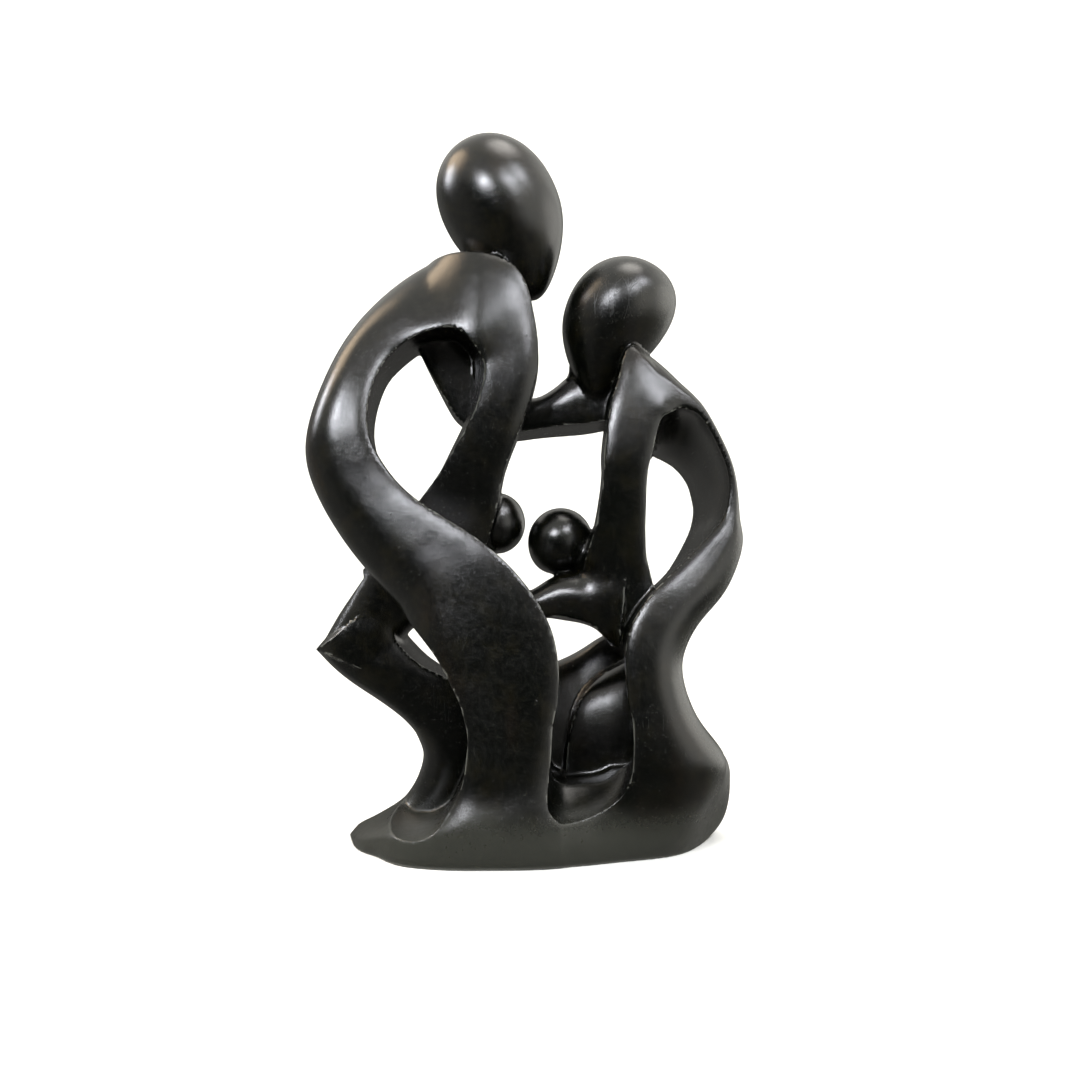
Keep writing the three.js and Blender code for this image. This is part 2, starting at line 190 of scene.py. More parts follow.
# scooped openings: outline of the mouth as x, z, then rows from front to back of
# y, shift in x, shift in z, width and height as shares of the mouth's
rightMouth = [
    (17, 42), (19, 66), (23, 102), (46, 134), (68, 101), (71, 66), (66, 47), (54, 36), (38, 30.5), (25, 31),
]
rightScoop = [[-100, 0, 0, 1, 1], [-66, 0, 0, 1, 1], [-40, 2, 15, 1.1, 1.02], [-15, 3, 31, 1.22, 1.04],
              [36, 4, 37, 1.26, 1.06]]
# level shelf in the depth of the same opening
rightHollow = [
    (18, 58), (19, 76), (26, 100), (45, 116), (68, 108), (76, 84), (78, 66), (76, 57), (62, 55), (32, 55),
]
rightShelf = [[-40, 0, 0, 1, 1], [0, 1, 0, 1.06, 1], [34, 2, 2, 1.1, 1]]
leftMouth = [
    (-90, 36), (-87, 24), (-77, 18), (-63, 18.5), (-51, 26), (-43, 41), (-35, 65), (-34, 88), (-48, 112),
    (-74, 106), (-90, 66),
]
leftScoop = [[-100, 0, 0, 1, 1], [-64, 0, 0, 1, 1], [-20, 2, 2, 1, 1], [26, 4, 6, 0.98, 0.98]]

# egg shapes, blunt end up: centre, half length, depth factor, lean in degrees, then half width,
# taper towards the chin and chin pull, each for the left and for the right side of the outline
eggs = {
    "tallHead": dict(at=(-12.9, 9, 426.4), long=59.8, depth=0.95, lean=-21.9,
                     wide=(38.0, 41.1), taper=(0.27, 0.1), point=(0.33, 0.3)),
    "smallHead": dict(at=(65.2, 4, 349.5), long=50.2, depth=1.02, lean=17.1,
                      wide=(38.4, 30.1), taper=(0.1, 0.58), point=(0.25, 0.14)),
    "leftChild": dict(at=(-17.5, 12, 217.5), long=21, depth=1.0, lean=0,
                      wide=(19.5, 19.5), taper=(0, 0), point=(0, 0)),
    "rightChild": dict(at=(25.5, 0, 205), long=23, depth=1.0, lean=33,
                       wide=(21.5, 21.5), taper=(0.04, 0.04), point=(0.05, 0.05)),
    "childShoulder": dict(at=(46, -6, 191), long=17, depth=1.2, lean=-12,
                          wide=(10, 10), taper=(0, 0), point=(0, 0)),
}

# what a user would change on the carving
carving = {
    "cell": 2.4,             # mm, spacing of the skin's points
    "roundness": 2.5,        # exponent of a ribbon's section: 2 is an ellipse, more is boxier
    "flatter": 0.22,         # half widths taken off a crisp edge, for a flatter face
    "crispBox": 1.6,         # added to the exponent on the side of a crisp edge
    "leanSlope": 0.26,       # how fast the shoulders lean back with height
    "tallLeanFrom": 328.0,   # mm, height where the taller figure's shoulder begins to lean
    "smallLeanFrom": 288.0,  # mm, the same for the smaller figure
    "bankLeanFrom": 62.0,    # mm, and for the far bank of the right opening
    "leanMore": 0.8,         # share by which the taller figure's back leans more than its arm
    "backFrom": -25.0,       # mm, x where that back begins, to the left
    "backWidth": 45.0,       # mm, over which the lean grows
    "leanEase": 14.0,        # mm, height over which a lean sets in
    "uprightFrom": 48.0,     # mm, depth behind which nothing leans
    "leanDepth": 72.0,       # mm, over which the lean dies out
    "hipTurn": 0.05,         # how fast the hip's face falls back to the left
    "bladeBox": 1.4,         # added to the exponent where a ribbon thins out to a blade
    "bladeWidth": 9.0,       # mm, half width from which this begins
    "wallShare": 0.85,       # share of a ribbon's depth that its flat inner wall takes
    "plinthRoundness": 2.4,  # exponent of the plinth's section
    "plinthBulge": 0.72,     # share of the section's height where its sides stand out most
    "arrisWear": 0.9,        # mm, how far polishing has rounded a crisp arris
    "plinthBlend": 18.0,     # mm, hollow where the ribbons grow out of the plinth
    "plinthEnd": 6.0,        # mm, rounding where the plinth's table ends
    "scoopEnd": 12.0,        # mm, the same at the ends of a scoop
    "bedWear": 1.5,          # mm, rounding of the lower edge
    "kneeBlend": 7.0,        # mm, hollow where thigh and shin run into each other
    "webBlend": 11.0,        # mm, where the smaller figure's arm runs out into the child's
    "creaseEase": 0.5,       # share by which a crease's points are drawn together
    "creaseBlend": 2.6,      # mm, where a head sits on a shoulder or one limb passes another
    "creaseFrom": 270.0,     # mm, height above which arm and strip run together without a crease
    "creaseFade": 35.0,      # mm, below it, over which the crease comes in
    "wornDepth": 9.0,        # mm, how far behind an arris the stone is looked at
    "paleEdgeSolid": 4.0,        # mm, of stone that has to be there for the arris to show its pale line, partly wear and partly a painted highlight
}

# how finely the carving is worked out
rowSteps = 80          # places read between two rungs of a ribbon
plinthSteps = 20       # and between two rows of the plinth or of a scoop
crispCut = 0.87        # an edge cut nearer than this is crisp
roundCut = 0.96        # and one cut further out than this is fully rounded
fillGap = 0.6          # mm, spacing of the places from which a ribbon's map is filled
levelGap = 6           # mm, between the maps of a ribbon whose back edge stands elsewhere
mapMiss = 0.05         # mm, by which a rung may miss its pixel
placeMiss = 0.1        # mm, and a place
slopeGap = 0.35        # mm, between the readings that give the surface's direction
sameWay = 0.985        # cosine above which a corner's direction is also its face's
intoFace = 0.35        # share of the way to the face's middle where the others are read
skinLow = (-155, -92)  # mm, x and y where the search for the skin begins
skinHigh = (160, 86, 492)
hipMiddle = 60         # mm, x at which the turned hip keeps its place
far = 40.0             # mm, distance given to everything that is further away
mapPixel = 1.0         # mm
mapLow = (-185.0, -40.0)
mapSize = (370, 560)


def smoothRows(rows, perStation):
    # natural cubic through every column of a table, sampled evenly between the rows
    table = np.array(rows, float)
    count = len(table)
    system = np.eye(count)
    right = np.zeros_like(table)
    for i in range(1, count - 1):
        system[i, i - 1:i + 2] = (1, 4, 1)
        right[i] = 6 * (table[i + 1] - 2 * table[i] + table[i - 1])
    bend = np.linalg.solve(system, right)
    t = np.linspace(0, count - 1, (count - 1) * perStation + 1)
    i = np.minimum(t.astype(int), count - 2)
    f = (t - i)[:, None]
    g = 1 - f
    straight = (table[i] - bend[i] / 6) * g + (table[i + 1] - bend[i + 1] / 6) * f
    return (bend[i] * g**3 + bend[i + 1] * f**3) / 6 + straight


def smoothStep(x):
    x = np.clip(x, 0, 1)
    return x * x * (3 - 2 * x)


def along(table, t):
    # a dense table read between its rows; t is a row number with a fraction
    i = np.clip(t.astype(int), 0, len(table) - 2)
    f = (t - i)[:, None]
    return table[i] * (1 - f) + table[i + 1] * f


# columns of a ribbon's dense table: places in the front view, and their steps along the ribbon.
# Between them stand the middle's y, half the depth, both cuts, both flattened ends and the length
# of a step, and after them how boxy the section is at either edge
innerAt, outerAt, shiftAt = slice(0, 2), slice(2, 4), slice(4, 6)
innerStep, outerStep, shiftStep = slice(13, 15), slice(15, 17), slice(17, 19)


def wallEdge(row, y):
    # where a rung's inner edge stands at this depth, and its step along the ribbon
    middle, depth = row[:, 6], row[:, 7]
    w = smoothStep(((y - middle) / depth / carving["wallShare"] + 1) / 2)[:, None]
    return row[:, innerAt] + row[:, shiftAt] * w, row[:, innerStep] + row[:, shiftStep] * w


def findRung(table, t, s, place, y, rounds):
    # Newton's method: the rung t and the share s along it that pass through each place
    last = len(table) - 1.0
    for _ in range(rounds):
        row = along(table, t)
        edge, edgeStep = wallEdge(row, y)
        ds = row[:, outerAt] - edge
        miss = place - (edge + ds * s[:, None])
        dt = edgeStep + (row[:, outerStep] - edgeStep) * s[:, None]
        cross = dt[:, 0] * ds[:, 1] - dt[:, 1] * ds[:, 0]
        cross = np.where(np.abs(cross) < 1e-3, 1e-3, cross)
        stepT = (miss[:, 0] * ds[:, 1] - miss[:, 1] * ds[:, 0]) / cross
        stepS = (dt[:, 0] * miss[:, 1] - dt[:, 1] * miss[:, 0]) / cross
        t = np.clip(t + np.clip(stepT, -30, 30), -60, last + 60)
        s = s + np.clip(stepS, -0.6, 0.6)
    row = along(table, t)
    edge, _ = wallEdge(row, y)
    miss = np.linalg.norm(place - (edge + (row[:, outerAt] - edge) * s[:, None]), axis=1)
    return t, s, miss


def pixelOf(x, z, low):
    # the nearest pixel of an image of the front view whose first pixel stands at low
    return np.rint((x - low[0]) / mapPixel).astype(int), np.rint((z - low[-1]) / mapPixel).astype(int)


def stripMap(table, y, reach):
    # for every pixel of the front view: which rung passes through it at this depth, and where
    # along that rung it lies, from 0 at the inner edge to 1 at the outer one
    inner, _ = wallEdge(table, y)
    outer = table[:, outerAt]
    width = np.linalg.norm(outer - inner, axis=1)
    outside = np.repeat(np.arange(reach, 0, -fillGap), 2)
    shares = [-e / width if n % 2 else 1 + e / width for n, e in enumerate(outside)]
    shares += [np.full(len(width), s) for s in np.linspace(0, 1, int(width.max() / fillGap) + 2)]
    t = np.arange(len(inner), dtype=float)
    rungT = np.full(mapSize, -1.0)
    rungS = np.full(mapSize, 0.5)
    for s in shares:  # from the outside in, so that a pixel on the strip itself is written last
        place = inner + (outer - inner) * s[:, None]
        px, pz = pixelOf(place[:, 0], place[:, 1], mapLow)
        good = (px >= 0) & (px < mapSize[0]) & (pz >= 0) & (pz < mapSize[1])
        rungT[px[good], pz[good]] = t[good]
        rungS[px[good], pz[good]] = s[good]
    for shift in [(1, 0), (-1, 0), (0, 1), (0, -1)] * 2:
        empty = rungT < 0
        rungT = np.where(empty, np.roll(rungT, shift, (0, 1)), rungT)
        rungS = np.where(empty, np.roll(rungS, shift, (0, 1)), rungS)
    ix, iz = np.nonzero(rungT >= 0)
    place = np.stack([mapLow[0] + ix * mapPixel, mapLow[1] + iz * mapPixel], 1)
    t, s, miss = findRung(table, rungT[ix, iz], rungS[ix, iz], place, y, 6)
    good = miss < mapMiss
    image = np.full(mapSize + (2,), np.nan, np.float32)
    image[ix[good], iz[good]] = np.stack([t[good], s[good]], 1)
    return image


def ribbonMaps(rows, part=None, reach=20.0):
    # a ribbon's dense table, and over the front view the rung that passes through each pixel.
    # Where the inner edge stands elsewhere at the back, there is an image for several depths.
    table = smoothRows(rows, rowSteps)
    if part:
        table = table[part[0] * rowSteps:part[1] * rowSteps + 1]
    inner, outer, shift = table[:, innerAt], table[:, outerAt], table[:, shiftAt]
    frontY, backY, cutIn, cutOut = table[:, 6], table[:, 7], table[:, 8], table[:, 9]
    ends = []
    for cut in (cutIn, cutOut):
        rounder = smoothStep((cut - crispCut) / (roundCut - crispCut))
        edge = (cut - carving["flatter"]) * (1 - rounder) + 1.02 * rounder
        reachOut = np.minimum(edge, 1) * (1 + (cut - 1) * rounder)
        ends.append((reachOut, edge, carving["crispBox"] * (1 - rounder)))
    (cutIn, edgeIn, boxIn), (cutOut, edgeOut, boxOut) = ends
    stepLength = np.linalg.norm(np.gradient((inner + outer) / 2, axis=0), axis=1)
    full = np.column_stack([
        inner, outer, shift, (frontY + backY) / 2, (backY - frontY) / 2, cutIn, cutOut, edgeIn, edgeOut,
        stepLength, np.gradient(inner, axis=0), np.gradient(outer, axis=0), np.gradient(shift, axis=0),
        boxIn, boxOut,
    ])
    levels = 1
    if np.abs(shift).max() > 0.5:
        levels = int((backY.max() - frontY.min()) / levelGap) + 2
    levelY = np.linspace(frontY.min(), backY.max(), levels)
    stack = np.stack([stripMap(full, y, reach) for y in levelY])
    ix, iz = np.nonzero(~np.isnan(stack[..., 0]).all(0))
    ix0, ix1, iz0, iz1 = ix.min(), ix.max() + 1, iz.min(), iz.max() + 1
    low = (mapLow[0] + ix0 * mapPixel, frontY.min() - reach, mapLow[1] + iz0 * mapPixel)
    high = (mapLow[0] + (ix1 - 1) * mapPixel, backY.max() + reach, mapLow[1] + (iz1 - 1) * mapPixel)
    return {"table": full, "stack": stack[:, ix0:ix1, iz0:iz1].copy(), "low": low, "high": high,
            "firstY": levelY[0], "gapY": (levelY[-1] - levelY[0]) / max(levels - 1, 1)}


def readMap(image, x, z):
    # an image of the front view read between its pixels
    fx = (x - mapLow[0]) / mapPixel
    fz = (z - mapLow[1]) / mapPixel
    ix = np.clip(fx.astype(int), 0, image.shape[0] - 2)
    iz = np.clip(fz.astype(int), 0, image.shape[1] - 2)
    a, b = fx - ix, fz - iz
    near = image[ix, iz] * (1 - a) + image[ix + 1, iz] * a
    over = image[ix, iz + 1] * (1 - a) + image[ix + 1, iz + 1] * a
    return near * (1 - b) + over * b


def smoothMin(a, b, blend):
    h = np.maximum(blend - np.abs(a - b), 0) / blend
    return np.minimum(a, b) - h * h * blend / 4


def smoothMax(a, b, blend):
    return -smoothMin(-a, -b, blend)


def roundDistance(u, v, powerU, powerV, scaleU, scaleV):
    # distance to the section |u|^p + |v|^q = 1, where a unit is scaleU or scaleV mm
    au, av = np.abs(u) + 1e-6, np.abs(v) + 1e-6
    r = (au**powerU + av**powerV) ** (1 / powerV)
    gu = r ** (1 - powerV) * au ** (powerU - 1) * powerU / powerV / scaleU
    gv = (av / r) ** (powerV - 1) / scaleV
    slope = np.sqrt(gu * gu + gv * gv)
    return (r - 1) / np.maximum(slope, 0.5 / np.maximum(scaleU, scaleV))


def leanBack(p, start, more=0.0):
    # places read a little further forward above this height, which leans the front back,
    # by this share more over the taller figure's back than at its arm; the back stays upright
    ease = carving["leanEase"]
    over = ease * np.logaddexp(0, (p[:, 2] - start) / ease)
    back = smoothStep((carving["backFrom"] - p[:, 0]) / carving["backWidth"])
    slope = carving["leanSlope"] * (1 + more * back)
    shift = over * slope * smoothStep((carving["uprightFrom"] - p[:, 1]) / carving["leanDepth"])
    return p - np.stack([np.zeros(len(p)), shift, np.zeros(len(p))], 1)


def ribbonDistance(ribbon, p):
    out = np.full(len(p), far)
    near = np.nonzero(((p > ribbon["low"]) & (p < ribbon["high"])).all(1))[0]
    if not len(near):
        return out
    q = p[near]
    level = np.zeros(len(near), int)
    if ribbon["gapY"]:
        level = np.rint((q[:, 1] - ribbon["firstY"]) / ribbon["gapY"]).astype(int)
        level = np.clip(level, 0, len(ribbon["stack"]) - 1)
    ix, iz = pixelOf(q[:, 0], q[:, 2], ribbon["low"])
    guess = ribbon["stack"][level, ix, iz]
    known = ~np.isnan(guess[:, 0])
    near, q, guess = near[known], q[known], guess[known].astype(float)
    t, s, miss = findRung(ribbon["table"], guess[:, 0], guess[:, 1], q[:, [0, 2]], q[:, 1], 5)
    good = miss < placeMiss
    near, q, t, s = near[good], q[good], t[good], s[good]
    last = len(ribbon["table"]) - 1.0
    row = along(ribbon["table"], np.clip(t, 0, last))
    edge, _ = wallEdge(row, q[:, 1])
    middle, depth, cutIn, cutOut, edgeIn, edgeOut, stepLength = row[:, 6:13].T
    perUnit = np.linalg.norm(row[:, outerAt] - edge, axis=1) / (cutIn + cutOut)
    u = -cutIn + s * (cutIn + cutOut)
    boxier = carving["bladeBox"] * np.clip(1 - perUnit / carving["bladeWidth"], 0, 1)
    power = carving["roundness"] + boxier
    boxIn, boxOut = row[:, -2:].T
    crisper = np.where(u < 0, boxIn, boxOut)
    d = roundDistance(u, (q[:, 1] - middle) / depth, power + crisper, power, perUnit, depth)
    for wall in ((-edgeIn - u) * perUnit, (u - edgeOut) * perUnit, np.maximum(t - last, -t) * stepLength):
        d = smoothMax(d, wall, carving["arrisWear"])
    out[near] = np.minimum(d, far)
    return out


def plinthDistance(table, p):
    x = np.clip(p[:, 0], table[0, 0], table[-1, 0])
    front, back, low, high = [np.interp(x, table[:, 0], table[:, c]) for c in (1, 2, 3, 4)]
    widest = low + (high - low) * carving["plinthBulge"]
    half = (back - front) / 2
    rise = np.where(p[:, 2] > widest, high - widest, widest - low)
    a = (p[:, 1] - (front + back) / 2) / half
    b = (p[:, 2] - widest) / rise
    d = roundDistance(a, b, carving["plinthRoundness"], carving["plinthRoundness"], half, rise)
    ends = np.maximum(table[0, 0] - p[:, 0], p[:, 0] - table[-1, 0])
    return np.minimum(smoothMax(d, ends, carving["plinthEnd"]), far)


def eggDistance(egg, p):
    lean = math.radians(egg["lean"])
    dx, dy, dz = (p - np.array(egg["at"])).T
    up = dx * math.sin(lean) + dz * math.cos(lean)
    side = dx * math.cos(lean) - dz * math.sin(lean)
    dy = dy / egg["depth"]
    reach = np.hypot(side, dy)
    c = np.clip(up / egg["long"], -1, 1)
    toRight = 0.5 + 0.5 * side / np.maximum(reach, 1e-6)
    wide, taper, point = [egg[k][0] + (egg[k][1] - egg[k][0]) * toRight for k in ("wide", "taper", "point")]
    wide = wide * (1 + taper * c) * (1 - point * np.where(c < 0, c * c, 0))
    return np.minimum(roundDistance(up / egg["long"], reach / wide, 2.0, 2.0, egg["long"], wide), far)


def closedSpline(points, perSpan):
    # smooth closed outline through the points
    ring = np.array(points, float)
    out = []
    for i in range(len(ring)):
        a, b, c, d = (ring[(i + j) % len(ring)] for j in (-1, 0, 1, 2))
        for f in np.linspace(0, 1, perSpan, endpoint=False):
            out.append(0.5 * (2 * b + (c - a) * f + (2 * a - 5 * b + 4 * c - d) * f**2
                              + (3 * b - a - 3 * c + d) * f**3))
    return np.array(out)


def outlineMap(points):
    # signed distance to a closed outline, as an image over the front view
    ring = closedSpline(points, 16)
    xs = mapLow[0] + np.arange(mapSize[0]) * mapPixel
    zs = mapLow[1] + np.arange(mapSize[1]) * mapPixel
    gx, gz = np.meshgrid(xs, zs, indexing="ij")
    near = (gx > ring[:, 0].min() - 30) & (gx < ring[:, 0].max() + 30)
    near &= (gz > ring[:, 1].min() - 30) & (gz < ring[:, 1].max() + 30)
    px, pz = gx[near], gz[near]
    best = np.full(len(px), 1e9)
    inside = np.zeros(len(px), bool)
    for a, b in zip(ring, np.roll(ring, -1, 0)):
        ab = b - a
        f = np.clip(((px - a[0]) * ab[0] + (pz - a[1]) * ab[1]) / (ab @ ab), 0, 1)
        best = np.minimum(best, (px - a[0] - ab[0] * f) ** 2 + (pz - a[1] - ab[1] * f) ** 2)
        if a[1] != b[1]:
            over = (a[1] > pz) != (b[1] > pz)
            inside ^= over & (px < a[0] + ab[0] * (pz - a[1]) / (b[1] - a[1]))
    image = np.full(mapSize, far)
    image[near] = np.where(inside, -1, 1) * np.sqrt(best)
    return {"image": image, "middle": np.array(points, float).mean(0)}


def scoopDistance(outline, table, p):
    y = np.clip(p[:, 1], table[0, 0], table[-1, 0])
    shiftX, shiftZ, wide, tall = [np.interp(y, table[:, 0], table[:, c]) for c in (1, 2, 3, 4)]
    middle = outline["middle"]
    x = middle[0] + (p[:, 0] - middle[0] - shiftX) / wide
    z = middle[1] + (p[:, 2] - middle[1] - shiftZ) / tall
    d = readMap(outline["image"], x, z) * np.minimum(wide, tall)
    ends = np.maximum(table[0, 0] - p[:, 1], p[:, 1] - table[-1, 0])
    return smoothMax(d, ends, carving["scoopEnd"])


def makeField():
    shapes = {
        "strip": ribbonMaps(tallRibbon, tallStripRows),
        "arm": ribbonMaps(tallRibbon, tallArmRows),
        "shin": ribbonMaps(shinRibbon),
        "reach": ribbonMaps(reachRibbon),
        "smallStrip": ribbonMaps(smallRibbon, smallStripRows),
        "smallArm": ribbonMaps(smallRibbon, smallArmRows),
        "childArm": ribbonMaps(childArmRibbon),
        "hip": ribbonMaps(hipRibbon),
        "ridge": ribbonMaps(ridgeRibbon),
        "childBody": ribbonMaps(childBodyRibbon),
    }
    plinthTable = smoothRows(plinthRows, plinthSteps)
    openings = ((rightMouth, rightScoop), (rightHollow, rightShelf), (leftMouth, leftScoop))
    scoops = [(outlineMap(outline), smoothRows(rows, plinthSteps)) for outline, rows in openings]
    crease = carving["creaseBlend"]

    def field(p):
        tall = leanBack(p, carving["tallLeanFrom"], carving["leanMore"])
        small = leanBack(p, carving["smallLeanFrom"])
        bank = leanBack(p, carving["bankLeanFrom"])
        turned = p - np.outer(hipMiddle - p[:, 0], (0, carving["hipTurn"], 0))
        leaning = {"strip": tall, "arm": tall, "smallStrip": small, "smallArm": small, "ridge": bank,
                   "hip": turned}
        part = {name: ribbonDistance(shape, leaning.get(name, p)) for name, shape in shapes.items()}
        body = plinthDistance(plinthTable, p)
        for name in ("strip", "smallStrip"):
            body = smoothMin(body, part[name], carving["plinthBlend"])
        for outline, table in scoops:
            body = smoothMax(body, -scoopDistance(outline, table, p), carving["arrisWear"])
        seat = smoothMin(part["hip"], part["ridge"], crease)
        body = smoothMin(body, seat, crease)
        leg = smoothMin(part["shin"], part["arm"], carving["kneeBlend"])
        # no crease between arm and strip at the shoulders, which are one run
        apart = crease * np.clip((carving["creaseFrom"] - p[:, 2]) / carving["creaseFade"], 0, 1) + 0.01
        body = smoothMin(body, leg, apart)
        web = smoothMin(part["smallArm"], part["childArm"], carving["webBlend"])
        body = smoothMin(body, web, apart)
        for d in [part["reach"], part["childBody"]] + [eggDistance(egg, p) for egg in eggs.values()]:
            body = smoothMin(body, d, crease)
        return smoothMax(body, -p[:, 2], carving["bedWear"])

    def inChunks(p):
        return np.concatenate([field(p[i:i + 300000]) for i in range(0, len(p), 300000)])

    return inChunks


def slopeOf(field, p):
    # direction in which the field rises, from four readings at a tetrahedron's corners
    corners = np.array([(1, 1, 1), (1, -1, -1), (-1, 1, -1), (-1, -1, 1)], float)
    total = np.zeros_like(p)
    for corner in corners:
        total += corner * field(p + corner * slopeGap)[:, None]
    return total / np.maximum(np.linalg.norm(total, axis=1), 1e-9)[:, None]


def tangledPatterns():
    # the patterns of inside and outside corners that hold more than one sheet of skin
    corners = [(i, j, k) for k in (0, 1) for j in (0, 1) for i in (0, 1)]
    tangled = np.zeros(256, bool)
    for pattern in range(256):
        for side in (0, 1):
            left = {c for n, c in enumerate(corners) if (pattern >> n & 1) == side}
            sheets = 0
            while left:
                sheets += 1
                reached = [left.pop()]
                while reached:
                    c = reached.pop()
                    for axis in range(3):
                        other = tuple(1 - v if a == axis else v for a, v in enumerate(c))
                        if other in left:
                            left.remove(other)
                            reached.append(other)
            tangled[pattern] |= sheets > 1
    return tangled


def closeCrevices(value):
    # cracks narrower than a cell are filled, so that every cell holds one sheet
    tangled = tangledPatterns()
    nx, ny, nz = value.shape
    for _ in range(12):
        pattern = np.zeros((nx - 1, ny - 1, nz - 1), int)
        for n in range(8):
            i, j, k = n & 1, n >> 1 & 1, n >> 2 & 1
            pattern |= (value[i:nx - 1 + i, j:ny - 1 + j, k:nz - 1 + k] < 0).astype(int) << n
        bad = np.argwhere(tangled[pattern])
        if not len(bad):
            break
        for n in range(8):
            c = bad + (n & 1, n >> 1 & 1, n >> 2 & 1)
            here = value[c[:, 0], c[:, 1], c[:, 2]]
            value[c[:, 0], c[:, 1], c[:, 2]] = np.where(here < 0, here, -0.05)
    return value


def skinOf(field, low, high, cell):
    # one point per cell that the surface passes through, set where the tangent planes meet,
    # which keeps the arrises crisp
    low = np.array(low, float)
    counts = [int(math.ceil((h - l) / cell)) + 1 for l, h in zip(low, high)]
    axes = [low[a] + cell * np.arange(counts[a]) for a in range(3)]
    grid = np.stack(np.meshgrid(*axes, indexing="ij"), -1).reshape(-1, 3)
    value = closeCrevices(field(grid).reshape(counts))
    del grid
    around = {0: [(0, -1, -1), (0, 0, -1), (0, 0, 0), (0, -1, 0)],
              1: [(-1, 0, -1), (-1, 0, 0), (0, 0, 0), (0, 0, -1)],
              2: [(-1, -1, 0), (0, -1, 0), (0, 0, 0), (-1, 0, 0)]}
    points, quads = [], []
    for axis in range(3):
        step = np.eye(3, dtype=int)[axis]
        a = value[:counts[0] - step[0], :counts[1] - step[1], :counts[2] - step[2]]
        b = value[step[0]:, step[1]:, step[2]:]
        where = np.argwhere((a < 0) != (b < 0))
        va = a[tuple(where.T)]
        vb = b[tuple(where.T)]
        start = low + where * cell
        lo, hi, flo, fhi = np.zeros(len(va)), np.ones(len(va)), va.copy(), vb.copy()
        for _ in range(2):
            t = lo + (hi - lo) * np.clip(flo / (flo - fhi), 0.03, 0.97)
            ft = field(start + step * (t * cell)[:, None])
            same = (ft < 0) == (flo < 0)
            lo, flo = np.where(same, t, lo), np.where(same, ft, flo)
            hi, fhi = np.where(same, hi, t), np.where(same, fhi, ft)
        t = lo + (hi - lo) * np.clip(flo / (flo - fhi), 0, 1)
        points.append(start + step * (t * cell)[:, None])
        cells = np.stack([where + np.array(offset) for offset in around[axis]], 1)
        cells[va >= 0] = cells[va >= 0][:, ::-1]
        quads.append(cells)
    points = np.concatenate(points)
    quads = np.concatenate(quads)
    slope = slopeOf(field, points)
    flat = (quads[..., 0] * counts[1] + quads[..., 1]) * counts[2] + quads[..., 2]
    ids, index = np.unique(flat, return_inverse=True)
    index = index.reshape(-1, 4)
    total = len(ids)

    def gather(values):
        return np.bincount(index.ravel(), np.repeat(values, 4), total)

    number = gather(np.ones(len(points)))
    middle = np.stack([gather(points[:, a]) for a in range(3)], 1) / number[:, None]
    plane = (slope * points).sum(1)
    push = np.stack([gather(slope[:, a] * plane) for a in range(3)], 1)
    pull = np.zeros((total, 3, 3))
    for a in range(3):
        for b in range(a, 3):
            pull[:, a, b] = pull[:, b, a] = gather(slope[:, a] * slope[:, b])
    push -= np.einsum("nab,nb->na", pull, middle)
    place = middle + np.linalg.solve(pull + 0.08 * np.eye(3), push[:, :, None])[:, :, 0]
    cellAt = np.stack([ids // (counts[1] * counts[2]), ids // counts[2] % counts[1], ids % counts[2]], 1)
    centre = low + (cellAt + 0.5) * cell
    place = np.clip(place, centre - 0.5 * cell, centre + 0.5 * cell)
    place[:, 2] = np.maximum(place[:, 2], 0)
    return place, index


def intoTriangles(field, place, quads):
    # every four-sided face is split along the diagonal that lies closer to the surface
    first = np.abs(field((place[quads[:, 0]] + place[quads[:, 2]]) / 2))
    second = np.abs(field((place[quads[:, 1]] + place[quads[:, 3]]) / 2))
    turned = np.where((second < first)[:, None], quads[:, [1, 2, 3, 0]], quads)
    return np.concatenate([turned[:, [0, 1, 2]], turned[:, [0, 2, 3]]])


def largestBody(place, triangles):
    label = np.arange(len(place))
    while True:
        lowest = label[triangles].min(1)
        new = label.copy()
        np.minimum.at(new, triangles.ravel(), np.repeat(lowest, 3))
        new = new[new]
        if (new == label).all():
            break
        label = new
    main = np.bincount(label).argmax()
    keep = label == main
    number = np.cumsum(keep) - 1
    triangles = number[triangles[keep[triangles[:, 0]]]]
    print(f"skin: {len(place)} points, {(~keep).sum()} of them in sealed pockets left out")
    return place[keep], triangles


def cornerNormals(field, place, triangles):
    # each corner takes the surface's direction a little way into its own face, so that an
    # arris stays a line and everything else is smooth
    atPoint = slopeOf(field, place)
    centre = place[triangles].mean(1)
    atCentre = slopeOf(field, centre)
    normals = atPoint[triangles]
    apart = np.einsum("nca,na->nc", normals, atCentre) < sameWay
    face, corner = np.nonzero(apart)
    spot = place[triangles[face, corner]]
    normals[face, corner] = slopeOf(field, spot + (centre[face] - spot) * intoFace)
    return normals


def edgesOf(triangles):
    return np.concatenate([triangles[:, [0, 1]], triangles[:, [1, 2]], triangles[:, [2, 0]]])


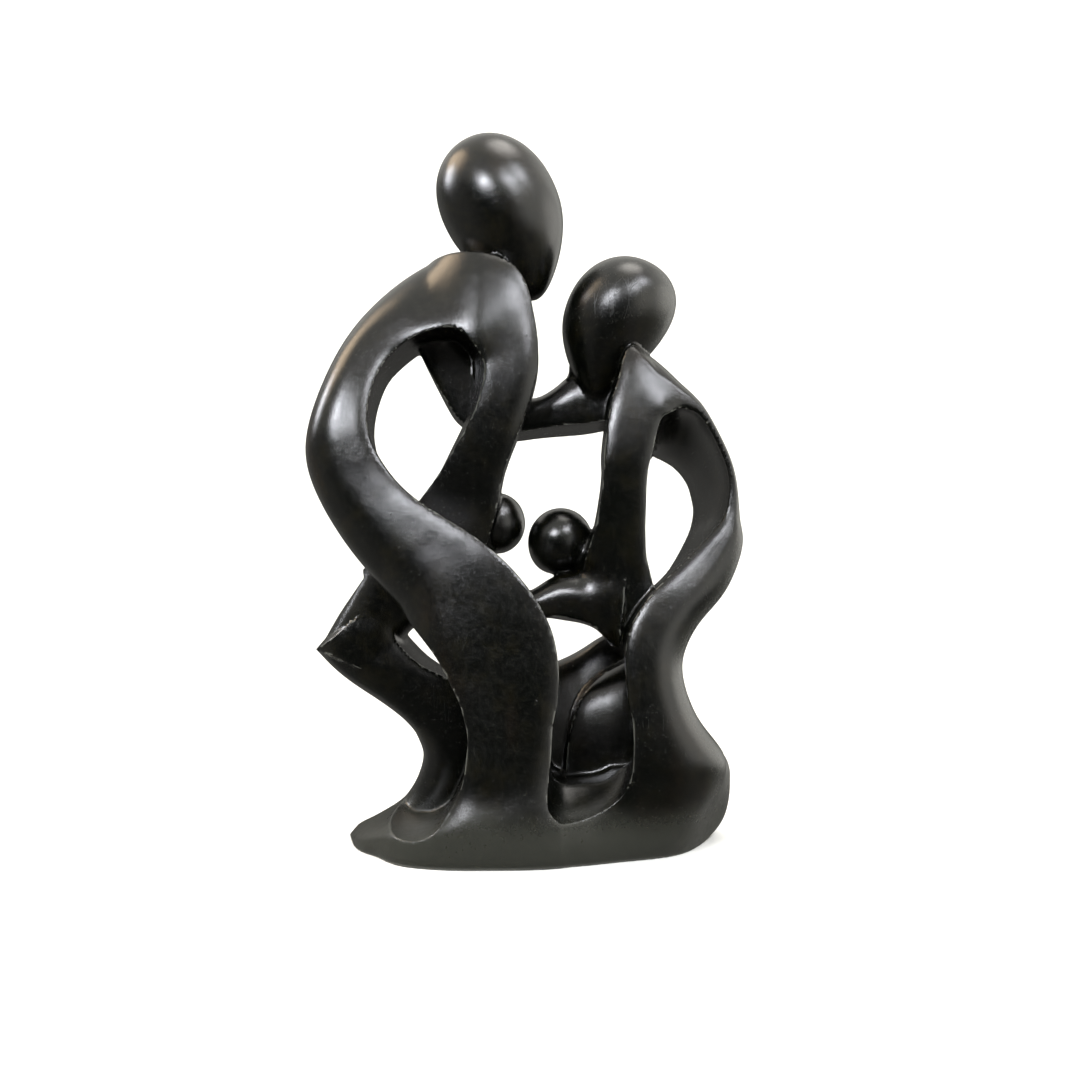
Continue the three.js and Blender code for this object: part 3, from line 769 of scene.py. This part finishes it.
def edgeSharpness(place, triangles, normals):
    # how sharply the surface turns at each point, and whether outward or inward
    total = np.zeros_like(place)
    middle = np.zeros_like(place)
    number = np.bincount(triangles.ravel(), minlength=len(place)).astype(float)
    centre = place[triangles].mean(1)
    for corner in range(3):
        for a in range(3):
            total[:, a] += np.bincount(triangles[:, corner], normals[:, corner, a], len(place))
            middle[:, a] += np.bincount(triangles[:, corner], centre[:, a], len(place))
    mean = total / number[:, None]
    turn = 1 - np.linalg.norm(mean, axis=1)
    side = ((middle / number[:, None] - place) * mean).sum(1)
    ends = edgesOf(triangles)
    nearby = np.bincount(ends[:, 0], turn[ends[:, 1]], len(place)) / number
    arris = np.clip((turn - 1.3 * nearby) / 0.015, 0, 1)
    beside = np.bincount(ends[:, 0], arris[ends[:, 1]], len(place))
    arris = np.maximum(arris, np.clip(beside / 2, 0, 1) * np.clip(turn / 0.02, 0, 1))  # closes its gaps
    return np.where(side < 0, arris, 0), np.where(side >= 0, turn, 0), mean


def easeCreases(place, triangles, hollow):
    # the points along a crease are drawn towards their neighbours, which irons out its teeth
    ends = edgesOf(triangles)
    number = np.maximum(np.bincount(ends[:, 0], minlength=len(place)), 1)
    share = carving["creaseEase"] * np.clip(hollow / 0.02, 0, 1)[:, None]
    for _ in range(8):
        total = np.stack([np.bincount(ends[:, 0], place[ends[:, 1], a], len(place)) for a in range(3)], 1)
        place = place * (1 - share) + total / number[:, None] * share
    return place


def addObject(name, data):
    obj = bpy.data.objects.new(name, data)
    bpy.context.scene.collection.objects.link(obj)
    return obj


def makeCarving():
    field = makeField()
    cell = carving["cell"] * 1
    place, quads = skinOf(field, skinLow + (-1.5 * cell,), skinHigh, cell)
    triangles = intoTriangles(field, place, quads)
    place, triangles = largestBody(place, triangles)
    normals = cornerNormals(field, place, triangles)
    arris, hollow, mean = edgeSharpness(place, triangles, normals)
    behind = field(place - mean * carving["wornDepth"])
    arris = np.where(behind < -carving["paleEdgeSolid"], arris, 0)
    place = easeCreases(place, triangles, hollow)
    mesh = bpy.data.meshes.new("family_carving")
    mesh.vertices.add(len(place))
    mesh.vertices.foreach_set("co", ((place + centring) / 1000).astype(np.float32).ravel())
    mesh.loops.add(triangles.size)
    mesh.loops.foreach_set("vertex_index", triangles.astype(np.int32).ravel())
    mesh.polygons.add(len(triangles))
    mesh.polygons.foreach_set("loop_start", np.arange(0, triangles.size, 3, dtype=np.int32))
    mesh.update(calc_edges=True)
    mesh.validate()
    for name, values in (("arris", arris), ("hollow", hollow)):
        layer = mesh.attributes.new(name, "FLOAT", "POINT")
        layer.data.foreach_set("value", values.astype(np.float32))
    mesh.polygons.foreach_set("use_smooth", np.ones(len(triangles), bool))
    mesh.normals_split_custom_set(normals.reshape(-1, 3).tolist())
    print(f"carving: {len(mesh.vertices)} points, {len(mesh.polygons)} triangles")
    return addObject("family_carving", mesh)


def linearColour(text):
    # an sRGB hex colour as the linear colour that the shader takes
    values = [int(text[i:i + 2], 16) / 255 for i in (1, 3, 5)]
    return [v / 12.92 if v <= 0.04045 else ((v + 0.055) / 1.055) ** 2.4 for v in values] + [1.0]


def addNode(tree, kind, inputs=None, settings=None):
    # one node; settings are its properties, and each input is a number, a colour,
    # another node, whose first output is taken, or one of another node's outputs
    node = tree.nodes.new("ShaderNode" + kind)
    for name, value in (settings or {}).items():
        setattr(node, name, value)
    for name, value in (inputs or {}).items():
        if isinstance(value, bpy.types.Node):
            value = value.outputs[0]
        if isinstance(value, bpy.types.NodeSocket):
            tree.links.new(value, node.inputs[name])
        else:
            node.inputs[name].default_value = linearColour(value) if isinstance(value, str) else value
    return node


# the stone: nearly black serpentine-like soapstone, rubbed with wax and polished by hand
stone = {
    "body": "#020302",        # polished stone between the grains
    "grain": "#15160f",       # paler grains and mica flecks
    "olive": "#0c0b04",       # weathered olive mottling on the broad fronts
    "amber": "#1a120a",       # warm streaks where the stone is iron stained
    "worn": "#7c7e76",        # arrises rubbed through the wax, with a painted highlight along them
    "dust": "#54554f",        # wax and dust left in the creases and the pits
    "dullAndSheen": "#272823",        # duller stone, painted paler as light from the right and from the floor: the plinth's foot and the outer flank facing right
    "floorReflection": "#4d4e49",        # pale bottom edge: painted reflection of the floor, on the rough underside
    "grainSize": 1.1,         # mm, coarser than the real grain of 0.2 to 0.5 mm, so that it shows
    "mottleSize": 16.0,       # mm, clouds of weathered stone
    "streakSize": 60.0,       # mm, iron stained veins
    "scratchGap": 7.0,        # mm, between the fine scratches from handling
    "pitGap": 6.5,            # mm, between the small pits
    "roughness": 0.2,         # hand rubbed wax, between gloss and satin
    "roughnessSwing": 0.18,
    "ior": 1.54,              # talc and serpentine, 1.54 to 1.57
    "bumpDepth": 0.00016,     # m, relief of the grain
    "facetSize": 26.0,        # mm
    "facetDepth": 0.0006,     # m, soft unevenness left by the rasp
}


def perMetre(millimetres):
    # noise scale whose features are this many mm across
    return 1000 / millimetres


def makeStone():
    material = bpy.data.materials.new("waxed_dark_soapstone")
    material.use_nodes = True
    tree = material.node_tree
    tree.nodes.clear()
    coordinates = addNode(tree, "TexCoord").outputs
    place = coordinates["Object"]
    at = addNode(tree, "SeparateXYZ", {"Vector": place}).outputs
    facing = addNode(tree, "SeparateXYZ", {"Vector": coordinates["Normal"]}).outputs
    arris = addNode(tree, "Attribute", None, {"attribute_name": "arris"}).outputs["Fac"]
    hollow = addNode(tree, "Attribute", None, {"attribute_name": "hollow"}).outputs["Fac"]

    # size in mm, detail, roughness, stretch, and an offset that keeps the patterns apart
    patterns = {
        "fine": (stone["grainSize"], 4, 0.8, (1, 1, 1), (0, 0, 0)),
        "coarse": (stone["grainSize"] * 3.2, 4, 0.62, (1, 1, 1), (0.3, 0.1, 0)),
        "mottle": (stone["mottleSize"], 5, 0.6, (1, 1, 1), (0, 0, 0)),
        "broad": (stone["mottleSize"] * 4.5, 3, 0.5, (1, 1, 1), (0.7, 0.2, 0.4)),
        "streak": (stone["streakSize"], 4, 0.55, (1, 1, 0.32), (0.12, 0.5, 0.9)),
        "facets": (stone["facetSize"], 1, 0.4, (1, 1, 1), (0.2, 0.6, 0.1)),
    }
    noise = {}
    for name, (size, detail, rough, stretch, offset) in patterns.items():
        vector = addNode(tree, "Mapping", {"Vector": place, "Scale": stretch, "Location": offset})
        noise[name] = addNode(tree, "TexNoise", {"Vector": vector, "Scale": perMetre(size),
                                                 "Detail": detail, "Roughness": rough})

    # long scratches run along a stretched net of cells, pits sit in the middle of small ones
    stretched = addNode(tree, "Mapping", {"Vector": place, "Rotation": (0.3, 0.9, 0.5),
                                          "Scale": (1, 1, 0.06)})
    net = addNode(tree, "TexVoronoi", {"Vector": stretched, "Scale": perMetre(stone["scratchGap"])},
                  {"feature": "DISTANCE_TO_EDGE"})
    dots = addNode(tree, "TexVoronoi", {"Vector": place, "Scale": perMetre(stone["pitGap"])},
                   {"feature": "F1"})
    unevenHeight = addNode(tree, "Math", {0: noise["broad"], 1: 0.03, 2: at["Z"]},
                           {"operation": "MULTIPLY_ADD"})

    # what is read, and where a smooth step on it begins and ends; heights and x are in m
    steps = {
        "grain": (noise["fine"], 0.47, 0.68),
        "grainPatch": (noise["coarse"], 0.3, 0.75),
        "olive": (noise["mottle"], 0.46, 0.66),
        "amber": (noise["streak"], 0.58, 0.76),
        "arris": (arris, 0.5, 1.0),
        "arrisPatch": (noise["mottle"], 0.2, 0.6),
        "hollow": (hollow, 0.02, 0.12),
        "hollowPatch": (noise["coarse"], 0.38, 0.6),
        "scratch": (net, 0.02, 0.0),
        "scratchPatch": (noise["broad"], 0.62, 0.68),
        "pit": (dots, 0.11, 0.05),
        "pitPatch": (noise["coarse"], 0.6, 0.66),
        # painted light: the outer flank facing right and the low foot come out paler, as if lit from the
        # right and from the floor
        "right": (facing["X"], 0.45, 0.9),
        "rightPart": (at["X"], 0.055, 0.1),
        "foot": (unevenHeight, 0.056, 0.03),
        "dullSheenPatch": (noise["mottle"], 0.0, 0.35),
        # the lowest few mm, painted paler as a reflection of the floor
        "under": (at["Z"], 0.0025, 0.0005),
    }
    share = {}
    for name, (source, low, high) in steps.items():
        share[name] = addNode(tree, "MapRange", {"Value": source, "From Min": low, "From Max": high},
                              {"interpolation_type": "SMOOTHSTEP"})

    # how the shares go together, in this order
    sums = [
        ("grains", "MULTIPLY", "grain", "grainPatch"),
        # pale line on the arrises: partly wear, partly a painted highlight along the edge
        ("worn", "MULTIPLY", "arris", "arrisPatch"),
        ("crease", "MULTIPLY", "hollow", "hollowPatch"),
        ("scratches", "MULTIPLY", "scratch", "scratchPatch"),
        ("faintScratches", "MULTIPLY", "scratches", 0.3),
        ("pits", "MULTIPLY", "pit", "pitPatch"),
        ("marks", "MAXIMUM", "faintScratches", "pits"),
        ("flank", "MULTIPLY", "right", "rightPart"),
        ("faintFlank", "MULTIPLY", "flank", 0.7),
        ("dullSheenPlace", "MAXIMUM", "faintFlank", "foot"),
        ("dullAndSheen", "MULTIPLY", "dullSheenPlace", "dullSheenPatch"),
    ]
    for name, operation, first, second in sums:
        share[name] = addNode(tree, "Math", {0: share[first], 1: share.get(second, second)},
                              {"operation": operation})

    # colour: layers laid over the polished body
    layers = [
        ("grains", 1.0, "grain"), ("olive", 0.75, "olive"), ("amber", 0.55, "amber"), ("worn", 0.3, "worn"),
        ("crease", 0.15, "dust"), ("marks", 0.14, "dust"), ("dullAndSheen", 1.0, "dullAndSheen"), ("under", 1.0, "floorReflection"),
    ]
    colour = stone["body"]
    for name, strength, shade in layers:
        amount = addNode(tree, "Math", {0: share[name], 1: strength}, {"operation": "MULTIPLY"})
        mixer = addNode(tree, "Mix", {"Factor": amount, 6: colour, 7: stone[shade]}, {"data_type": "RGBA"})
        colour = mixer.outputs[2]

    # gloss: uneven polish, rougher on the grains, the marks, the dull flank and foot and underneath
    swing = stone["roughnessSwing"]
    gloss = [
        (noise["coarse"], swing), (noise["broad"], swing), (share["grains"], 0.07), (share["worn"], 0.2),
        (share["dullAndSheen"], 0.12), (share["marks"], 0.25), (share["under"], 0.5),
    ]
    rough = stone["roughness"] - swing
    for source, amount in gloss:
        rough = addNode(tree, "Math", {0: source, 1: amount, 2: rough},
                        {"operation": "MULTIPLY_ADD", "use_clamp": True})

    # relief: grain and marks, then soft tool facets left under the polish
    relief = 0.0
    for source, amount in ((noise["fine"], 0.6), (noise["coarse"], 0.45), (share["marks"], -0.6)):
        relief = addNode(tree, "Math", {0: source, 1: amount, 2: relief}, {"operation": "MULTIPLY_ADD"})
    bump = addNode(tree, "Bump", {"Height": relief, "Strength": 1.0, "Distance": stone["bumpDepth"]})
    bump = addNode(tree, "Bump", {"Height": noise["facets"], "Strength": 1.0, "Normal": bump,
                                  "Distance": stone["facetDepth"]})

    shader = addNode(tree, "BsdfPrincipled", {"Base Color": colour, "Roughness": rough, "Normal": bump,
                                              "IOR": stone["ior"], "Metallic": 0.0})
    addNode(tree, "OutputMaterial", {"Surface": shader})
    return material


def makePlain(name, colour, roughness):
    material = bpy.data.materials.new(name)
    material.use_nodes = True
    shader = material.node_tree.nodes["Principled BSDF"]
    shader.inputs["Base Color"].default_value = linearColour(colour)
    shader.inputs["Roughness"].default_value = roughness
    return material


# plain studio: pale paper, soft air, a few softboxes
studio = {
    "paper": "#ededea",
    "floorRadius": 2.7,      # m, where the paper begins to curve upwards
    "curve": 0.9,            # m
    "wallTop": 3.2,          # m
    "air": "#fbf9f2",
    "overhead": 1.05,        # brightness of the air that the polish mirrors
    "level": 0.022,          # the same straight ahead and to the viewer
    "below": 0.06,           # towards the table
    "fromRight": 1.6,
    "fromLeft": 0.25,
    "around": 0.3,           # pale wall round the back
    "behind": 0.35,          # share left straight behind the group
}


def makeSweep():
    # paper all round: floor, curve, wall. The polish mirrors the air, not the paper
    profile = [(0.5, 0.0), (studio["floorRadius"], 0.0)]
    steps, turns = 24, 96
    for i in range(1, steps + 1):
        a = math.pi / 2 * i / steps
        rise = studio["curve"] * (1 - math.cos(a))
        profile.append((studio["floorRadius"] + studio["curve"] * math.sin(a), rise))
    profile.append((studio["floorRadius"] + studio["curve"], studio["wallTop"]))
    points = [(0.0, 0.0, 0.0)]
    faces = [(0, 1 + n, 1 + (n + 1) % turns) for n in range(turns)]
    for row, (radius, z) in enumerate(profile):
        for n in range(turns):
            a = 2 * math.pi * n / turns
            points.append((radius * math.cos(a), radius * math.sin(a), z))
        if row:
            for n in range(turns):
                inside, beside = 1 + (row - 1) * turns + n, 1 + (row - 1) * turns + (n + 1) % turns
                faces.append((inside, inside + turns, beside + turns, beside))
    mesh = bpy.data.meshes.new("paper_sweep")
    mesh.from_pydata(points, [], faces)
    mesh.polygons.foreach_set("use_smooth", [True] * len(faces))
    mesh.materials.append(makePlain("matt_paper", studio["paper"], 0.95))
    obj = addObject("paper_sweep", mesh)
    obj.visible_glossy = False


# softboxes: direction seen from the group in degrees (round from behind it, to the right, and up),
# distance and size in m, brightness, colour. paperLight whitens the wall behind the group
lamps = {
    "frontLeft": dict(turn=-158, rise=25, distance=2.2, size=(0.5, 0.45), bright=48, colour="#f6f8ff"),
    "frontRight": dict(turn=157, rise=35, distance=2.2, size=(0.42, 0.45), bright=30, colour="#f6f8ff"),
    "left": dict(turn=-84, rise=27, distance=1.9, size=(0.5, 0.6), bright=15, colour="#f6f8ff"),
    "leftHigh": dict(turn=-84, rise=45, distance=1.9, size=(1.2, 0.9), bright=4.4, colour="#ffe2bd"),
    "rightHigh": dict(turn=131, rise=46, distance=2.0, size=(0.45, 0.45), bright=18, colour="#f6f8ff"),
    "right": dict(turn=82, rise=14, distance=1.8, size=(1.3, 1.2), bright=0.9, colour="#fbf7f0"),
    "overhead": dict(turn=90, rise=80, distance=2.0, size=(1.2, 0.9), bright=4, colour="#fbf7f0"),
    "paperLight": dict(at=(0, 1.22, 2.55), tilt=55, size=(3.4, 0.6), bright=7, colour="#ffffff"),
}


def makeLamps():
    middle = np.array([0.0, 0.0, 0.25])
    for name, lamp in lamps.items():
        data = bpy.data.lights.new(name, "AREA")
        data.shape = "RECTANGLE" if "at" in lamp else "ELLIPSE"
        data.size, data.size_y = lamp["size"]
        data.energy = lamp["bright"] * math.pi * data.size * data.size_y
        data.color = linearColour(lamp["colour"])[:3]
        obj = addObject(name, data)
        if "at" in lamp:
            obj.location = lamp["at"]
            obj.rotation_euler = (math.radians(lamp["tilt"]), 0, 0)
            obj.visible_camera = False
            obj.visible_glossy = False
        else:
            turn, rise = math.radians(lamp["turn"]), math.radians(lamp["rise"])
            flat = math.cos(rise)
            away = np.array([flat * math.sin(turn), flat * math.cos(turn), math.sin(rise)])
            obj.location = middle + away * lamp["distance"]
            obj.rotation_euler = (math.pi / 2 - rise, 0, math.pi - turn)


def makeAir():
    # soft grey air: bright overhead, dim below and towards the viewer, a light wall to the right
    world = bpy.data.worlds.new("studio_air")
    bpy.context.scene.world = world
    world.use_nodes = True
    tree = world.node_tree
    background = tree.nodes["Background"]
    background.inputs["Color"].default_value = linearColour(studio["air"])
    direction = addNode(tree, "TexCoord").outputs["Generated"]
    axes = addNode(tree, "SeparateXYZ", {"Vector": direction}).outputs

    # direction read, where a smooth step begins and ends, and its value before and after it
    level, fromLeft = studio["level"], studio["fromLeft"]
    steps = {
        "right": ("X", 0.15, 0.7, 0.0, studio["fromRight"]),
        "aboveTable": ("Z", -0.3, -0.05, 0.12, 1.0),
        "left": ("X", -0.95, -0.4, fromLeft + level, level),
        "overhead": ("Z", 0.12, 0.5, 0.0, studio["overhead"]),
        "around": ("Y", -0.05, 0.5, 0.0, studio["around"]),
        "behind": ("Y", 0.75, 0.97, 1.0, studio["behind"]),
        "below": ("Z", -0.5, -0.12, studio["below"], 0.0),
        "toViewer": ("Y", -0.2, 0.25, 1.0, 0.15),
    }
    light = {}
    for name, (axis, low, high, before, after) in steps.items():
        light[name] = addNode(tree, "MapRange", {"Value": axes[axis], "From Min": low, "From Max": high,
                                                 "To Min": before, "To Max": after},
                              {"interpolation_type": "SMOOTHSTEP"})
    sums = [
        ("rightWall", "MULTIPLY", "right", "aboveTable"),
        ("sides", "ADD", "rightWall", "left"),
        ("air", "MAXIMUM", "overhead", "sides"),
        ("air", "MAXIMUM", "air", "around"),
        ("air", "MULTIPLY", "air", "behind"),
        ("under", "MULTIPLY", "below", "toViewer"),
        ("air", "MAXIMUM", "air", "under"),
    ]
    for name, operation, first, second in sums:
        light[name] = addNode(tree, "Math", {0: light[first], 1: light[second]}, {"operation": operation})
    tree.links.new(light["air"].outputs[0], background.inputs["Strength"])


# the photograph's viewpoint, level with the middle of the group
view = {
    "at": (0.0093, -0.8811, 0.206),  # m
    "focal": 1300 / 1080,            # focal length as a share of the picture's width
    "sensor": 36.0,                  # mm
}


def makeCamera():
    data = bpy.data.cameras.new("photo_view")
    data.sensor_fit = "HORIZONTAL"
    data.sensor_width = view["sensor"]
    data.lens = view["sensor"] * view["focal"]
    data.clip_start = 0.01
    camera = addObject("photo_view", data)
    camera.location = view["at"]
    camera.rotation_euler = (math.pi / 2, 0, 0)
    bpy.context.scene.camera = camera


group = makeCarving()
group.data.materials.append(makeStone())
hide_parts("family_group")
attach(group, "root")
print("stone: material and marks")
makeSweep()
makeLamps()
makeAir()
makeCamera()
bpy.context.scene.view_settings.view_transform = "Standard"
print("studio: paper, lamps, camera")
